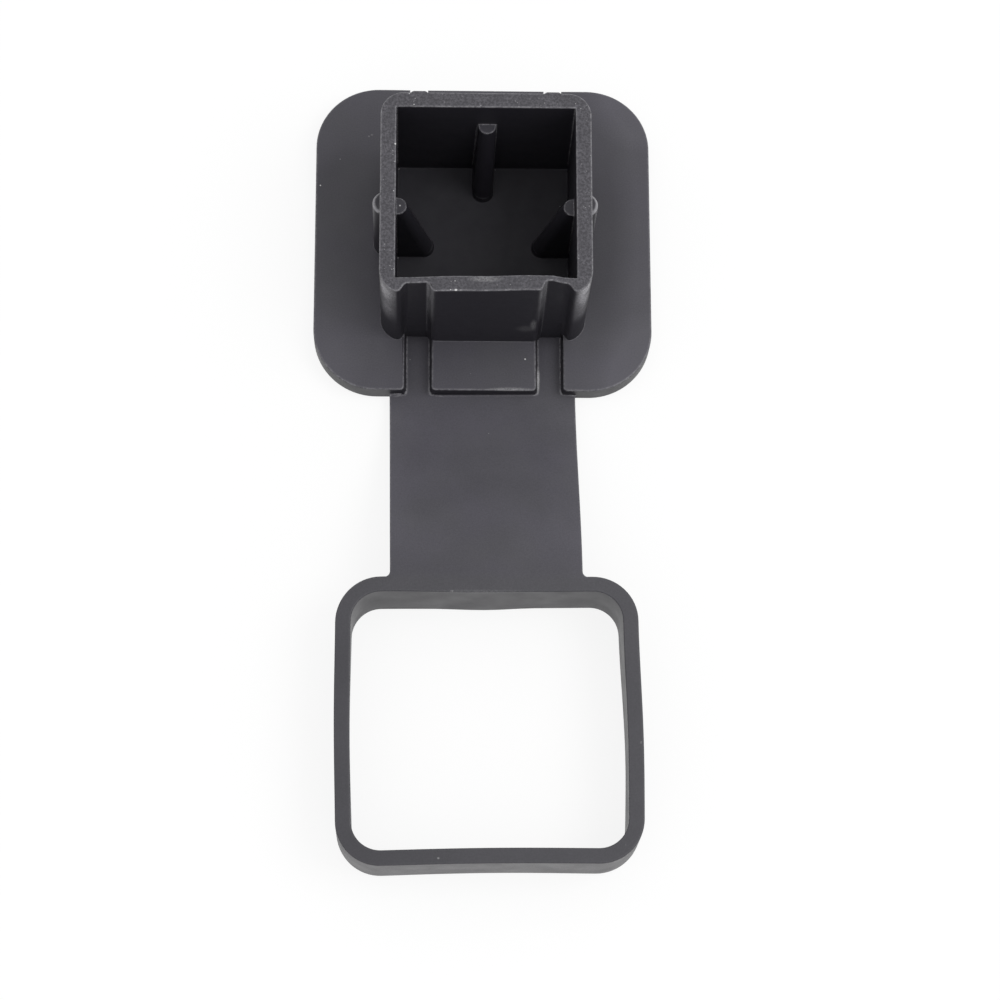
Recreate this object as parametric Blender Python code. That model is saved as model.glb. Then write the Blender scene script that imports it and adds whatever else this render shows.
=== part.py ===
"""Hitch receiver cover: a cap for the square tube of a tow bar, moulded in one piece of soft rubber.

A flat plate covers the tube's mouth. A hollow plug with ribs grips inside the tube. A strap runs from
the plate to a deep square loop that is pulled over the tube, so that the cover can't get lost.

The cover lies as it comes to rest: plate face down, plug up, and the loop on its lower edge, so the
soft strap rises in a gentle bend from the plate to the loop's upper face. The origin is the middle of
the plate's front face, +Z runs up the plug and -Y along the strap. Sizes are in metres.
"""
import math

import bmesh
import bpy
from mathutils import Matrix, Vector

MM = 0.001

# Plate
PLATE_WIDTH = 80.0 * MM
PLATE_HEIGHT = 76.4 * MM
PLATE_THICKNESS = 6.0 * MM
PLATE_CORNER_RADIUS = 15.0 * MM
PLATE_FRONT_ROUND = 0.8 * MM
PLATE_BACK_ROUND = 0.4 * MM

# Plug that goes into the receiver tube
PLUG_INSIDE = 41.0 * MM
PLUG_WALL = 3.6 * MM
PLUG_RIM_HEIGHT = 40.5 * MM
PLUG_FLOOR_HEIGHT = 4.3 * MM
PLUG_CORNER_RADIUS = 5.3 * MM
PLUG_SHIFT = 1.9 * MM
PLUG_RIM_ROUND = 0.35 * MM

# Grooves up the plug's lower wall
GROOVE_SPACING = 31.2 * MM
GROOVE_FLOOR_WIDTH = 5.0 * MM
GROOVE_FLANK_WIDTH = 1.3 * MM
GROOVE_DEPTH = 2.2 * MM

# Channels that carry the grooves on across the plate
CHANNEL_FLOOR_WIDTH = 4.6 * MM
CHANNEL_FLANK_WIDTH = 1.0 * MM

# Notches in the plate's upper edge, each with a low swell of the plug's upper wall behind it
NOTCH_SPACING = 32.0 * MM
NOTCH_WIDTH = 4.3 * MM
SWELL_SPACING = 30.6 * MM
SWELL_FOOT_WIDTH = 4.2 * MM
SWELL_TOP_WIDTH = 2.6 * MM
SWELL_REACH = 0.4 * MM

# Ribs outside the plug's side walls
RIB_RADIUS = 2.7 * MM
RIB_REACH = 1.7 * MM
RIB_DROP = 7.6 * MM
RIB_TOP_ROUND = 0.5 * MM

# Gussets inside the hollow, one on each wall
GUSSET_DROP = 9.7 * MM
GUSSET_TOP_WIDTH = 4.1 * MM
GUSSET_TOP_REACH = 2.4 * MM
GUSSET_FOOT_WIDTH = 4.9 * MM
GUSSET_FOOT_REACH = 9.1 * MM

# Strap between the plate and the loop
STRAP_WIDTH = 43.8 * MM
STRAP_THICKNESS = 2.6 * MM
STRAP_LENGTH = 47.9 * MM
STRAP_JOINT_RADIUS = 1.3 * MM
STRAP_JOINT_SEAT = 0.1 * MM
STRAP_LEAN = math.radians(0.75)

# Loop that goes round the tube
LOOP_WIDTH = 68.6 * MM
LOOP_HEIGHT = 65.7 * MM
LOOP_BAR = 3.5 * MM
LOOP_DEPTH = 16.2 * MM
LOOP_CORNER_RADIUS = 10.2 * MM
LOOP_SIDE_BOW = 0.7 * MM
LOOP_END_BOW = -0.45 * MM
LOOP_EDGE_ROUND = 0.35 * MM

# How far a joined piece reaches into its neighbour, and a cutter past the face it cuts
OVERLAP = 1.5 * MM

CORNER_STEPS = 8
STRAP_ROWS = 18

# Sizes that follow from the ones above
PLUG_OUTSIDE = PLUG_INSIDE + 2 * PLUG_WALL
PLUG_CENTRE_Y = -PLUG_SHIFT
PLATE_LOWER_EDGE = -PLATE_HEIGHT / 2
LOOP_CENTRE_Y = PLATE_LOWER_EDGE - STRAP_LENGTH - LOOP_HEIGHT / 2
STRAP_RISE = LOOP_DEPTH - STRAP_THICKNESS


def remove_everything():
    for item in list(bpy.data.objects):
        bpy.data.objects.remove(item, do_unlink=True)


def new_collection(name):
    group = bpy.data.collections.new(name)
    bpy.context.scene.collection.children.link(group)
    return group


def arc(centre_x, centre_y, radius, start_deg, end_deg, steps=CORNER_STEPS):
    """Points of an arc, both ends included."""
    points = []
    for i in range(steps + 1):
        angle = math.radians(start_deg + (end_deg - start_deg) * i / steps)
        points.append((centre_x + radius * math.cos(angle), centre_y + radius * math.sin(angle)))
    return points


def rounded_rectangle(width, height, radius):
    """Outline round the origin, anticlockwise from the right-hand side's foot."""
    x, y = width / 2 - radius, height / 2 - radius
    return (arc(x, y, radius, 0, 90) + arc(-x, y, radius, 90, 180)
            + arc(-x, -y, radius, 180, 270) + arc(x, -y, radius, 270, 360))


def bowed(points, width, height, side_bow, end_bow, steps=CORNER_STEPS):
    """The same outline with points along its straight runs, its sides and its lower end bowed out."""
    filled = []
    for start, end in zip(points, points[1:] + points[:1]):
        count = steps if math.dist(start, end) > min(width, height) / 4 else 1
        for i in range(count):
            t = i / count
            filled.append((start[0] + (end[0] - start[0]) * t, start[1] + (end[1] - start[1]) * t))
    result = []
    for x, y in filled:
        across = 1 - (2 * x / width) ** 2
        along = 1 - (2 * y / height) ** 2
        moved_x = x + side_bow * along * (2 * x / width) ** 3
        moved_y = y - end_bow * across if y < 0 else y
        result.append((moved_x, moved_y))
    return result


def slab(name, group, outlines, low, high):
    """A closed solid between two heights from one or more flat outlines."""
    data = bpy.data.curves.new(name + "_outline", "CURVE")
    data.dimensions = "2D"
    data.fill_mode = "BOTH"
    data.extrude = (high - low) / 2
    for outline in outlines:
        spline = data.splines.new("POLY")
        spline.points.add(len(outline) - 1)
        for point, (x, y) in zip(spline.points, outline):
            point.co = (x, y, 0, 1)
        spline.use_cyclic_u = True
    drawn = bpy.data.objects.new(name + "_outline", data)
    drawn.location.z = (low + high) / 2
    group.objects.link(drawn)
    bpy.context.view_layer.update()
    evaluated = drawn.evaluated_get(bpy.context.evaluated_depsgraph_get())
    mesh = bpy.data.meshes.new_from_object(evaluated)
    mesh.transform(drawn.matrix_world)
    mesh.name = name
    bpy.data.objects.remove(drawn, do_unlink=True)
    solid = bpy.data.objects.new(name, mesh)
    group.objects.link(solid)
    weld(solid)
    return solid


def weld(solid):
    """Joins the outline's caps to its sides and turns all faces outwards."""
    work = bmesh.new()
    work.from_mesh(solid.data)
    bmesh.ops.remove_doubles(work, verts=work.verts, dist=0.001 * MM)
    bmesh.ops.dissolve_limit(work, angle_limit=math.radians(0.1), verts=work.verts, edges=work.edges)
    bmesh.ops.recalc_face_normals(work, faces=work.faces)
    work.to_mesh(solid.data)
    work.free()


def round_level_edges(solid, height, size, segments=2):
    """Rounds the edges between the sides and the level face at one height."""
    work = bmesh.new()
    work.from_mesh(solid.data)
    picked = []
    for edge in work.edges:
        level = all(abs(vert.co.z - height) < 0.01 * MM for vert in edge.verts)
        flat_faces = [abs(face.normal.z) > 0.5 for face in edge.link_faces]
        if level and any(flat_faces) and not all(flat_faces):
            picked.append(edge)
    bmesh.ops.bevel(work, geom=picked, offset=size, offset_type="OFFSET", segments=segments,
                    profile=0.5, affect="EDGES", clamp_overlap=True)
    work.to_mesh(solid.data)
    work.free()


def hull(name, group, points):
    """The closed convex solid round a set of points."""
    work = bmesh.new()
    for point in points:
        work.verts.new(point)
    made = bmesh.ops.convex_hull(work, input=work.verts)
    spare = [item for item in made["geom_interior"] if isinstance(item, bmesh.types.BMVert)]
    bmesh.ops.delete(work, geom=spare, context="VERTS")
    bmesh.ops.recalc_face_normals(work, faces=work.faces)
    mesh = bpy.data.meshes.new(name)
    work.to_mesh(mesh)
    work.free()
    solid = bpy.data.objects.new(name, mesh)
    group.objects.link(solid)
    return solid


def plate(group):
    outline = rounded_rectangle(PLATE_WIDTH, PLATE_HEIGHT, PLATE_CORNER_RADIUS)
    solid = slab("plate_blank", group, [outline], 0, PLATE_THICKNESS)
    round_level_edges(solid, 0, PLATE_FRONT_ROUND)
    round_level_edges(solid, PLATE_THICKNESS, PLATE_BACK_ROUND)
    return solid


def groove(group, side, steps=5):
    """Cuts one groove up the lower wall: side is -1 or 1 in X."""
    face = PLUG_OUTSIDE / 2
    flank = []
    for i in range(steps + 1):
        share = i / steps
        depth = GROOVE_DEPTH * (0.5 + 0.5 * math.cos(math.pi * share))
        flank.append((GROOVE_FLOOR_WIDTH / 2 + GROOVE_FLANK_WIDTH * share, face - depth))
    flank.append((flank[-1][0], face + OVERLAP))
    outline = flank + [(-x, y) for x, y in reversed(flank)]
    outline = [(x + side * GROOVE_SPACING / 2, PLUG_CENTRE_Y - y) for x, y in outline]
    return slab("groove_cutter", group, [outline], 0, PLUG_RIM_HEIGHT + OVERLAP)


def plug(group):
    """The plug's block, with its grooves cut and its hollow still to come."""
    outline = rounded_rectangle(PLUG_OUTSIDE, PLUG_OUTSIDE, PLUG_CORNER_RADIUS)
    outline = [(x, y + PLUG_CENTRE_Y) for x, y in outline]
    solid = slab("plug_block", group, [outline], PLUG_FLOOR_HEIGHT / 2, PLUG_RIM_HEIGHT)
    round_level_edges(solid, PLUG_RIM_HEIGHT, PLUG_RIM_ROUND)
    for side in (-1, 1):
        combine(solid, groove(group, side), "DIFFERENCE")
        combine(solid, swell(group, side), "UNION")
    return solid


def swell(group, side):
    """The low flat bulge up the plug's upper wall behind a notch of the plate."""
    wall = PLUG_OUTSIDE / 2
    right = [(SWELL_FOOT_WIDTH / 2, wall - OVERLAP), (SWELL_FOOT_WIDTH / 2, wall),
             (SWELL_TOP_WIDTH / 2, wall + SWELL_REACH)]
    outline = right + [(-x, y) for x, y in reversed(right)]
    outline = [(x + side * SWELL_SPACING / 2, y + PLUG_CENTRE_Y) for x, y in outline]
    return slab("swell", group, [outline], PLUG_FLOOR_HEIGHT / 2, PLUG_RIM_HEIGHT - PLUG_RIM_ROUND)


def rib(group, side):
    """A round rib up the outside of a side wall, ending a little below the rim."""
    centre = PLUG_OUTSIDE / 2 + RIB_REACH - RIB_RADIUS
    outline = [(side * x, y + PLUG_CENTRE_Y)
               for x, y in arc(centre, 0, RIB_RADIUS, 0, 360, 3 * CORNER_STEPS)[:-1]]
    solid = slab("rib", group, [outline], PLATE_THICKNESS / 2, PLUG_RIM_HEIGHT - RIB_DROP)
    round_level_edges(solid, PLUG_RIM_HEIGHT - RIB_DROP, RIB_TOP_ROUND)
    return solid


def hollow(group):
    half = PLUG_INSIDE / 2
    outline = [(half, half), (-half, half), (-half, -half), (half, -half)]
    outline = [(x, y + PLUG_CENTRE_Y) for x, y in outline]
    return slab("hollow_cutter", group, [outline], PLUG_FLOOR_HEIGHT, PLUG_RIM_HEIGHT + OVERLAP)


def gusset(group, turn_deg):
    """A tapering fin with a round free edge, from the hollow's floor up one wall."""
    wall = PLUG_INSIDE / 2
    rise = PLUG_RIM_HEIGHT - GUSSET_DROP - PLUG_FLOOR_HEIGHT
    levels = ((PLUG_RIM_HEIGHT - GUSSET_DROP, GUSSET_TOP_WIDTH, GUSSET_TOP_REACH),
              (PLUG_FLOOR_HEIGHT, GUSSET_FOOT_WIDTH, GUSSET_FOOT_REACH))
    sink = OVERLAP / rise
    widths = GUSSET_FOOT_WIDTH + (GUSSET_FOOT_WIDTH - GUSSET_TOP_WIDTH) * sink
    reach = GUSSET_FOOT_REACH + (GUSSET_FOOT_REACH - GUSSET_TOP_REACH) * sink
    levels = (levels[0], (PLUG_FLOOR_HEIGHT - OVERLAP, widths, reach))
    points = []
    for height, width, out in levels:
        radius = width / 2
        ring = arc(wall - out + radius, 0, radius, 90, 270)
        ring += [(wall + OVERLAP, -radius), (wall + OVERLAP, radius)]
        points += [(x, y, height) for x, y in ring]
    solid = hull("gusset", group, points)
    place = Matrix.Translation((0, PLUG_CENTRE_Y, 0)) @ Matrix.Rotation(math.radians(turn_deg), 4, "Z")
    solid.data.transform(place)
    return solid


def channel(group, side):
    """Cuts one groove's way on across the plate to its lower edge: side is -1 or 1 in X."""
    fillet = CHANNEL_FLANK_WIDTH / 2
    foot = CHANNEL_FLOOR_WIDTH / 2
    top = PLATE_THICKNESS + OVERLAP
    slope = (CHANNEL_FLANK_WIDTH - fillet) / (PLATE_THICKNESS - STRAP_THICKNESS - fillet)
    right = [(foot + x, STRAP_THICKNESS + fillet + z) for x, z in arc(0, 0, fillet, 270, 360, 3)]
    right.append((foot + fillet + slope * (top - STRAP_THICKNESS - fillet), top))
    section = right + [(-x, z) for x, z in reversed(right)]
    start = PLUG_OUTSIDE / 2 - PLUG_CENTRE_Y - GROOVE_DEPTH
    finish = PLATE_HEIGHT / 2 + OVERLAP
    solid = slab("channel_cutter", group, [section], start, finish)
    stand = Matrix(((1, 0, 0, side * GROOVE_SPACING / 2), (0, 0, -1, 0), (0, 1, 0, 0), (0, 0, 0, 1)))
    solid.data.transform(stand)
    weld(solid)
    return solid


def notch(group, side):
    """Cuts a narrow notch into the plate's upper edge, from the plug's upper wall outwards."""
    half = NOTCH_WIDTH / 2
    inner = PLUG_CENTRE_Y + PLUG_OUTSIDE / 2 - OVERLAP
    outer = PLATE_HEIGHT / 2 + OVERLAP
    outline = [(half, inner), (half, outer), (-half, outer), (-half, inner)]
    outline = [(x + side * NOTCH_SPACING / 2, y) for x, y in outline]
    return slab("notch_cutter", group, [outline], STRAP_THICKNESS, PLATE_THICKNESS + OVERLAP)


def lean(x, y):
    """Turns a place on the strap or loop by the strap's small sideways lean, about the strap's root."""
    along = y - PLATE_LOWER_EDGE
    return (x * math.cos(STRAP_LEAN) - along * math.sin(STRAP_LEAN),
            PLATE_LOWER_EDGE + x * math.sin(STRAP_LEAN) + along * math.cos(STRAP_LEAN))


def strap(group):
    """The strap as a sheet, its ends inside the plate and the loop's bar, bent to rise to the loop."""
    half = STRAP_WIDTH / 2
    joint = PLATE_LOWER_EDGE - STRAP_LENGTH
    inside_plate = PLATE_LOWER_EDGE + PLATE_CORNER_RADIUS / 2
    inside_loop = joint - LOOP_BAR / 2
    flare = arc(half + STRAP_JOINT_RADIUS, joint + STRAP_JOINT_RADIUS - STRAP_JOINT_SEAT,
                STRAP_JOINT_RADIUS, 180, 270, 4)
    right = [(half, inside_plate)] + flare + [(half + STRAP_JOINT_RADIUS, inside_loop)]
    outline = right + [(-x, y) for x, y in reversed(right)]
    solid = slab("strap_sheet", group, [outline], 0, STRAP_THICKNESS)
    work = bmesh.new()
    work.from_mesh(solid.data)
    for row in range(1, STRAP_ROWS):
        cut = Vector((0, PLATE_LOWER_EDGE - STRAP_LENGTH * row / STRAP_ROWS, 0))
        everything = work.verts[:] + work.edges[:] + work.faces[:]
        bmesh.ops.bisect_plane(work, geom=everything, plane_co=cut, plane_no=(0, 1, 0))
    for vert in work.verts:
        share = (PLATE_LOWER_EDGE - vert.co.y) / STRAP_LENGTH
        share = min(max(share, 0), 1)
        vert.co.z += STRAP_RISE * share ** 2 * (3 - 2 * share)
        vert.co.x, vert.co.y = lean(vert.co.x, vert.co.y)
    work.to_mesh(solid.data)
    work.free()
    return solid


def loop(group):
    """The deep square band, its sides a little bowed as it lies."""
    outlines = []
    for inset in (0, LOOP_BAR):
        width, height = LOOP_WIDTH - 2 * inset, LOOP_HEIGHT - 2 * inset
        outline = rounded_rectangle(width, height, LOOP_CORNER_RADIUS - inset)
        outline = bowed(outline, width, height, LOOP_SIDE_BOW, LOOP_END_BOW)
        outlines.append([lean(x, y + LOOP_CENTRE_Y) for x, y in outline])
    solid = slab("loop_band", group, outlines, 0, LOOP_DEPTH)
    round_level_edges(solid, 0, LOOP_EDGE_ROUND)
    round_level_edges(solid, LOOP_DEPTH, LOOP_EDGE_ROUND)
    return solid


def combine(target, tool, operation):
    step = target.modifiers.new(operation.lower() + "_" + tool.name, "BOOLEAN")
    step.operation = operation
    step.object = tool
    step.solver = "EXACT"
    tool.hide_render = True
    tool.display_type = "WIRE"


def rubber():
    material = bpy.data.materials.new("charcoal_rubber")
    material.use_nodes = True
    shader = material.node_tree.nodes["Principled BSDF"]
    shader.inputs["Base Color"].default_value = (0.042, 0.041, 0.046, 1)
    shader.inputs["Roughness"].default_value = 0.62
    shader.inputs["Metallic"].default_value = 0.0
    return material


def main():
    remove_everything()
    parts = new_collection("hitch_receiver_cover")
    tools = new_collection("shaping_tools")
    cover = plate(parts)
    cover.name = "receiver_cover"
    cover.data.name = "receiver_cover"
    cover.data.materials.append(rubber())
    for side in (-1, 1):
        combine(cover, channel(tools, side), "DIFFERENCE")
        combine(cover, notch(tools, side), "DIFFERENCE")
    combine(cover, plug(tools), "UNION")
    for side in (-1, 1):
        combine(cover, rib(tools, side), "UNION")
    combine(cover, strap(tools), "UNION")
    combine(cover, loop(tools), "UNION")
    combine(cover, hollow(tools), "DIFFERENCE")
    for turn_deg in (0, 90, 180, 270):
        combine(cover, gusset(tools, turn_deg), "UNION")


main()
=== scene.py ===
"""The look of the hitch receiver cover: one moulding of charcoal rubber on a white table."""
import math

import bmesh
import bpy
from mathutils import Matrix, Vector


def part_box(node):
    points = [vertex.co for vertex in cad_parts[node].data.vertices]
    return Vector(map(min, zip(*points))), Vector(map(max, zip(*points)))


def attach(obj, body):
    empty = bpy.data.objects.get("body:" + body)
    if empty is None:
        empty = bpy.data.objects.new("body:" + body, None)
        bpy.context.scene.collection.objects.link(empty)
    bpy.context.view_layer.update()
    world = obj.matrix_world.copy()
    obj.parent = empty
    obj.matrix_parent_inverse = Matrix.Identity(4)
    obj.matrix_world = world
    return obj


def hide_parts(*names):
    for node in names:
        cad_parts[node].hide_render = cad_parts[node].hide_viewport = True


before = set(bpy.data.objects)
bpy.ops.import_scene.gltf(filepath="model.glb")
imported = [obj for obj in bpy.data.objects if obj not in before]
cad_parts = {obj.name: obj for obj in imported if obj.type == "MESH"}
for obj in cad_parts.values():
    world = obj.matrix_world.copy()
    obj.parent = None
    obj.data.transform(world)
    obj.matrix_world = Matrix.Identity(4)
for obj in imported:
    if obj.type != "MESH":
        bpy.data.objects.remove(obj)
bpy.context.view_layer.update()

MM = 0.001
TINY = 0.01 * MM

cover_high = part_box("receiver_cover")[1]

# Sizes that the frame gives
PLATE_HALF_WIDTH = cover_high.x
PLATE_UPPER_EDGE = cover_high.y
PLATE_LOWER_EDGE = -cover_high.y
RIM_HEIGHT = cover_high.z

# Plate: a thin base as thick as the strap, with pads raised on it
BASE_THICKNESS = 2.6 * MM
PLATE_THICKNESS = 6.0 * MM
PLATE_CORNER_RADIUS = 15.0 * MM
FRONT_ROUND = 0.8 * MM
PAD_TOP_ROUND = 0.4 * MM
PAD_CORNER_RADIUS = 1.0 * MM
PAD_FOOT_FILLET = 0.5 * MM

# Channels between the pads: two below the plug and two narrower ones above it
CHANNEL_SPACING = 31.0 * MM
CHANNEL_SHIFT = 0.25 * MM
CHANNEL_FOOT_HALF_WIDTH = 2.75 * MM
CHANNEL_DRAFT = 0.5 * MM
CHANNEL_SINK = 1.0 * MM
NOTCH_SPACING = 32.3 * MM
NOTCH_SHIFT = 0.75 * MM
NOTCH_HALF_WIDTH = 2.15 * MM

# Plug; the swells are so low that their lines lie close together, so those are found with less slack
PLUG_HALF = 24.1 * MM
PLUG_CENTRE_Y = -1.9 * MM
PLUG_CORNER_RADIUS = 5.3 * MM
HOLLOW_HALF = 20.5 * MM
FLOOR_HEIGHT = 4.3 * MM
FLOOR_FILLET = 0.3 * MM
GROOVE_SPACING = 31.7 * MM
GROOVE_DEPTH = 2.2 * MM
GROOVE_FLOOR_HALF_WIDTH = 2.3 * MM
GROOVE_INNER_FLANK = 1.6 * MM
GROOVE_OUTER_FLANK = 2.2 * MM
GROOVE_FLANK_ROWS = 8
SHOULDER_ANGLE = math.radians(25)
SHOULDER_ROUND = 0.7 * MM
SWELL_SPACING = 30.6 * MM
SWELL_HALF_WIDTH = 1.3 * MM
SWELL_FLANK = 0.8 * MM
SWELL_REACH = 0.4 * MM
SWELL_SLACK = TINY / 4
RIM_ROUND = 0.35 * MM
PLUG_FOOT_FILLET = 0.25 * MM

# Lines that let the plug's free walls bend: their gap, and their heights as shares of the rim's
WALL_LINE_GAP = 2.5 * MM
WALL_LINE_SHARES = (0.4, 0.55, 0.7, 0.8, 0.9)

# Ribs outside the plug's side walls
RIB_RADIUS = 2.75 * MM
RIB_REACH = 1.8 * MM
RIB_HEIGHT = RIM_HEIGHT - 7.6 * MM
RIB_TOP_ROUND = 0.85 * MM

# Gussets inside the hollow
GUSSET_HEIGHT = RIM_HEIGHT - 9.7 * MM
GUSSET_TOP_RADIUS = 2.05 * MM
GUSSET_TOP_REACH = 2.4 * MM
GUSSET_FOOT_RADIUS = 2.45 * MM
GUSSET_FOOT_REACH = 9.1 * MM
GUSSET_TOP_ROUND = 0.2 * MM
GUSSET_FOOT_FILLET = 0.25 * MM
GUSSET_FLOOR_SINK = 1.0 * MM
GUSSET_WALL_SINK = 3.0 * MM

# Strap, and the round widening at its joint with the loop, which is seated a little into the loop
STRAP_HALF_WIDTH = 21.9 * MM
STRAP_LENGTH = 47.9 * MM
STRAP_ROWS = 36
STRAP_LEAN = math.radians(0.75)
STRAP_EDGE_ROUND = 0.25 * MM
JOINT_RADIUS = 1.3 * MM
JOINT_SEAT = 0.1 * MM
JOINT_ROWS = 6

# Loop: its lines part its width and height evenly, but for the round corners, which have none
LOOP_WIDTH = 68.6 * MM
LOOP_HEIGHT = 65.7 * MM
LOOP_BAR = 3.5 * MM
LOOP_DEPTH = 16.2 * MM
LOOP_CORNER_RADIUS = 10.2 * MM
LOOP_EDGE_ROUND = 0.35 * MM
LOOP_PARTS = 24
LOOP_LINES_EACH_WAY = 8

# Slight bends of the soft moulding: where, how far around, and by how much it gives, in mm
RIM_BENDS = (((9.5, -24.2, 40.5), 11.0, (0, 0.35, 0)),
             ((20.5, -24.2, 40.5), 9.0, (0, -0.4, 0)),
             ((-19.5, -24.2, 40.5), 14.0, (0, -0.5, 0)),
             ((15.9, -23.6, 40.5), 3.2, (0, 0.4, 0)))
LOOP_BENDS = (((-25.0, -86.1, 8.0), 20.0, (0, 0.45, 0)),
              ((-34.3, -118.9, 8.0), 31.0, (-0.6, 0, 0)),
              ((34.3, -123.5, 8.0), 31.0, (0.85, 0, 0)),
              ((0, -151.8, 8.0), 46.0, (0, 0.75, 0)),
              ((0, -89.6, 0), 12.0, (0, -0.35, 0)),
              ((-16.2, -89.6, 16.2), 4.2, (0, -0.3, 0)))
TOP_GUSSET_LEAN = 0.5 * MM

# How far a piece reaches into the one that it joins, or beyond the one that it cuts
SINK = 1.75 * MM

# Sides of a round piece
PEG_SIDES = 48

# Limits on the mesh: a level normal, a sharp and a concave edge, points that merge, faces that lie
# flat to one another, and edges that shade smooth
LEVEL = 0.9
SHARP_ANGLE = 1.0
CONCAVE_ANGLE = -0.5
WELD = 0.005 * MM
FLAT_ANGLE = math.radians(0.05)
SMOOTH_ANGLE = math.radians(35)

# Colours of the rubber
RUBBER_CLEAN = (0.014, 0.013, 0.018, 1)
# The rubber under its pale film: dust, and painted light on faces turned up
RUBBER_DUSTY_AND_LIT = (0.102, 0.098, 0.117, 1)
RUBBER_GREY = (0.100, 0.0995, 0.106, 1)
RIM_DARK = (0.050, 0.048, 0.056, 1)
RIM_LIGHT = (0.116, 0.112, 0.127, 1)
# Dust and painted reflection on the loop's low outer face
LOW_FACE_DUST_AND_REFLECTION = (0.20, 0.192, 0.198, 1)
# Painted highlights on the plug's corner posts, groove flanks and ribs
POST_AND_RIB_HIGHLIGHT = (0.52, 0.51, 0.54, 1)
# Pale edges: partly wear, partly painted highlight
RUBBED_AND_HIGHLIT_EDGE = (0.32, 0.315, 0.335, 1)
# Pale dust, and painted highlights laid on with the smears
DUST_AND_HIGHLIGHT = (0.75, 0.75, 0.75, 1)

# Gloss of the rubber
ROUGHNESS_RANGE = (0.3, 0.7, 0.40, 0.50)
DUSTY_ROUGHNESS = 0.2
SPECULAR = 0.4

# Noises on the rubber: scale, detail and roughness
GRIT = (3000, 4, 0.7)
BLOTCHES = (220, 3, 0.5)
FILM_CLOUDS = (70, 4, 0.55)
GREY_CLOUDS = (60, 3, 0.5)
RIM_CLOUDS = (300, 4, 0.6)
RIM_GRAIN = (1800, 4, 0.65)
EDGE_BREAKS = (1300, 4, 0.65)
ROUGHNESS_CLOUDS = (160, 4, 0.6)
GRAIN = (2600, 3, 0.6)
WAVES = (240, 2, 0.5)

# Bumps: strength and distance
GRAIN_BUMP = (0.35, 0.03 * MM)
WAVE_BUMP = (0.07, 0.12 * MM)

# The masks below say where a measure starts to count and where it counts in full. Where two more
# numbers follow, they are the mask's levels at those two ends, otherwise nothing and one.

# Areas of the cover
RIM_AREA = (RIM_HEIGHT - 2 * RIM_ROUND, RIM_HEIGHT - RIM_ROUND / 4)
STRAP_START = (-38 * MM, -46 * MM)
STRAP_END = (-84 * MM, -72 * MM)
LOOP_AREA = (-84 * MM, -87 * MM)
HOLLOW_SIDES = (HOLLOW_HALF + MM, HOLLOW_HALF)
HOLLOW_BOTTOM = (2 * FLOOR_HEIGHT, FLOOR_HEIGHT)
ABOVE_FRONT = (BASE_THICKNESS / 2, BASE_THICKNESS)

# The pale film's level on open faces, painted light and shade by place: lighter to the right and on the
# strap, darker towards the loop and in the channels
PAINTED_LIGHT_ACROSS = (-40 * MM, 40 * MM, 0.72, 0.82)
STRAP_GAIN = 0.18
STRAP_SIDE_GAIN = (14 * MM, STRAP_HALF_WIDTH, 0.0, 0.1)
STRAP_END_LOSS = (-66 * MM, -80 * MM, 0.0, 0.12)
LOOP_LOSS = (-88 * MM, -105 * MM, 0.0, 0.09)
CHANNEL_FLOOR = (BASE_THICKNESS + MM, BASE_THICKNESS + 0.5 * MM)
CHANNEL_END = (PLATE_LOWER_EDGE - MM, PLATE_LOWER_EDGE)
CHANNEL_LOSS = 0.06

# Painted shade beside the plug, painted light towards the plate's corners, a faint paler patch at the strap's
# root and a darker one towards its end: place in mm, half sizes in mm, and change of the film's level
PAINTED_LIGHT_PATCHES = (((27.5, 4.0, 6.0), (9.5, 42.0, 6.0), -0.3),
                ((-30.0, 9.0, 6.0), (22.0, 36.0, 6.0), -0.16),
                ((40.0, 38.0, 6.0), (17.0, 16.0, 6.0), 0.42),
                ((40.0, -34.0, 6.0), (17.0, 16.0, 6.0), 0.3),
                ((-42.0, -27.0, 6.0), (16.0, 22.0, 6.0), 0.2),
                ((0.0, -46.0, 4.0), (30.0, 9.0, 5.0), 0.06),
                ((0.0, -69.0, 12.0), (34.0, 12.0, 8.0), -0.07))

# Where the film lies: by the way the skin faces, inside the hollow, and on the tops of ribs and gussets. On
# faces turned up it is dust and painted light; kept low inside the hollow it is painted shade, a little
# lighter towards the hollow's upper wall
FILM_AND_LIGHT_UPWARD = (0.3, 0.85)
FILM_LOOP_SIDES = (-0.5, 0.3, 0.0, 0.7)
FILM_DOWNWARD = (-0.5, -0.9, 0.0, 0.55)
FILM_HOLLOW_SIDES = (HOLLOW_HALF + 0.5 * MM, HOLLOW_HALF)
FILM_HOLLOW_WALLS = (FLOOR_HEIGHT - MM, FLOOR_HEIGHT, 0.0, 0.08)
HOLLOW_PAINTED_LIGHT = (-20 * MM, 17 * MM, 0.14, 0.35)
HOLLOW_LIGHT_BLOTCHES = (0.35, 0.65, 0.85, 1.15)
FILM_CLOUDED = (0.35, 0.65, 0.88, 1.0)
FILM_GRIT = (0.35, 0.65, 0.85, 1.1)
FILM_ON_TOPS = 0.6
TOP_BAND_OUTSIDE = 0.25 * MM
TOP_BAND_INSIDE = 0.15 * MM
GREYED = (0.42, 0.62, 0.0, 0.35)
GREYED_LOOP = 0.6

# Dust and a painted reflection of the white table on the loop's low outer face
LOW_FACE_PLACE = (-146 * MM, -148 * MM)
LOW_FACE_TURN = (-0.5, -0.9, 0.0, 0.3)
LOW_FACE_STEEP = (0.6, 0.3)
LOW_FACE_GRIT = (0.40, 0.60, 0.4, 1.4)

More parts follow.
